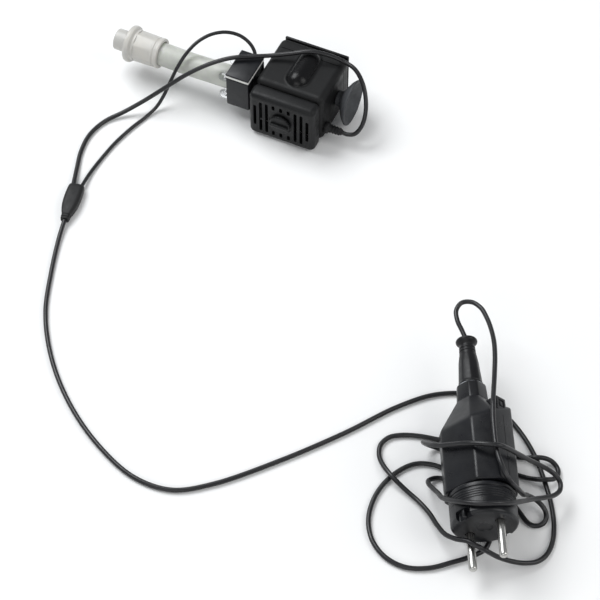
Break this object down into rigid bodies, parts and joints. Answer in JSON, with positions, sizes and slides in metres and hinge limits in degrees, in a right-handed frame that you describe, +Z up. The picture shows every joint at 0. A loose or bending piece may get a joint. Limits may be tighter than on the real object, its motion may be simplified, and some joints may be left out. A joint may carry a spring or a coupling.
{
  "type": "submersible fountain pump",
  "caption": "Small submersible fountain pump with a lamp collar, milky hose and lid fitting, and a thin cord wound round its plug-in power supply.",
  "frame": {"origin": "middle of the pump, hose and lid fitting, on the surface that the pump lies on", "axes": "+X from the lid fitting along the hose to the suction foot, +Y along the rotor from the intake to the rear cover, +Z up"},
  "size_m": [0.3323, 0.2744, 0.0439],
  "materials": {
    "housing_plastic": "matt black moulded ABS with a fine grain",
    "cover_plastic": "matt black moulded ABS",
    "impeller_plastic": "matt dark moulded plastic",
    "epoxy": "glossy poured epoxy",
    "core_steel": "laminated electrical steel, varnished",
    "nylon": "natural nylon",
    "copper": "enamelled copper wire",
    "shaft_ceramic": "ground white ceramic",
    "ferrite": "sintered ferrite",
    "seal_rubber": "smooth black rubber",
    "foot_rubber": "matt grey soft rubber",
    "gland_rubber": "satin black moulded PVC",
    "light_plastic": "satin black plastic",
    "light_seal": "white plastic edge",
    "board": "black coated circuit board",
    "lamp": "clear cast resin",
    "hose": "milky translucent soft vinyl",
    "fitting": "white moulded plastic",
    "cord": "satin black PVC sheath",
    "supply_plastic": "satin black moulded plastic",
    "boot_plastic": "satin black soft plastic",
    "pin_metal": "bright nickel-plated brass"
  },
  "bodies": {
    "pump": {"motor_housing": "housing_plastic", "rear_cover": "cover_plastic", "chamber_cover": "cover_plastic", "outlet_pipe": "cover_plastic", "potting": "epoxy", "stator_core": "core_steel", "transformer_core": "core_steel", "coil_former": "nylon", "transformer_former": "nylon", "rear_bushing": "nylon", "front_bushing": "nylon", "coil": "copper", "transformer_winding": "copper", "motor_shaft": "shaft_ceramic", "chamber_seal": "seal_rubber", "suction_foot": "foot_rubber", "cord_gland": "gland_rubber", "lead_splice": "gland_rubber", "light_base": "light_plastic", "light_lid": "light_plastic", "light_seal": "light_seal", "light_board": "board", "lamp_1": "lamp", "lamp_2": "lamp", "lamp_3": "lamp", "lamp_4": "lamp", "hose": "hose", "lid_fitting": "fitting", "pump_lead": "cord", "light_lead": "cord", "supply_cord": "cord", "supply_rear_shell": "supply_plastic", "supply_front_shell": "supply_plastic", "supply_boot": "boot_plastic", "pin_left": "pin_metal", "pin_right": "pin_metal"},
    "rotor": {"rotor_magnet": "ferrite", "impeller": "impeller_plastic"},
    "cover": {"intake_cover": "cover_plastic"},
    "regulator": {"flow_regulator": "cover_plastic"}
  },
  "joints": [
    {"name": "impeller_spin", "type": "hinge", "parent": "pump", "child": "rotor", "pos_m": [0.034, 0, 0.016], "axis": [0, 1, 0], "continuous": true},
    {"name": "intake_cover_slide", "type": "slide", "parent": "pump", "child": "cover", "axis": [0, -1, 0], "range_m": [0, 0.012]},
    {"name": "flow_regulator_turn", "type": "hinge", "parent": "cover", "child": "regulator", "pos_m": [0.039, -0.024, 0.016], "axis": [0, -1, 0], "range_deg": [0, 90]}
  ]
}
